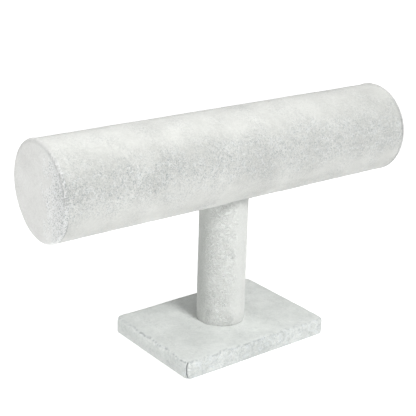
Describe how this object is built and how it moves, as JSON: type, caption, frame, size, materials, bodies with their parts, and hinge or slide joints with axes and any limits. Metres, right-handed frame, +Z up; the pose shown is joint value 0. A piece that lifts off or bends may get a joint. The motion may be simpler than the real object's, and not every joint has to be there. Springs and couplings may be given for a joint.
{
  "type": "bracelet display stand",
  "caption": "Velvet covered T-bar stand for bracelets: a thick round bar lies across a short round post on a flat rectangular base.",
  "frame": {"origin": "centre of the underside, on the surface that the stand rests on, below the middle of the post", "axes": "+Z up along the post, +X along the bar, +Y across the bar towards the side away from the picture's camera"},
  "size_m": [0.25, 0.076, 0.1463],
  "materials": {
    "velvet": "short crushed pile",
    "backing_felt": "flat felt",
    "mdf": "raw fibreboard",
    "wood": "raw softwood",
    "card": "raw card",
    "zinc_steel": "zinc plated",
    "brass": "plain"
  },
  "bodies": {
    "root": {"base_board": "mdf", "base_cover": "velvet", "base_backing": "backing_felt", "base_screw": "zinc_steel", "base_washer": "zinc_steel", "post_core": "wood", "post_cover": "velvet", "post_stud": "zinc_steel", "bar_tube": "card", "bar_cover": "velvet", "bar_block": "wood", "block_insert": "brass", "bar_plug_left": "mdf", "bar_plug_right": "mdf", "end_disc_left": "card", "end_disc_right": "card", "end_cover_left": "velvet", "end_cover_right": "velvet"}
  },
  "joints": []
}
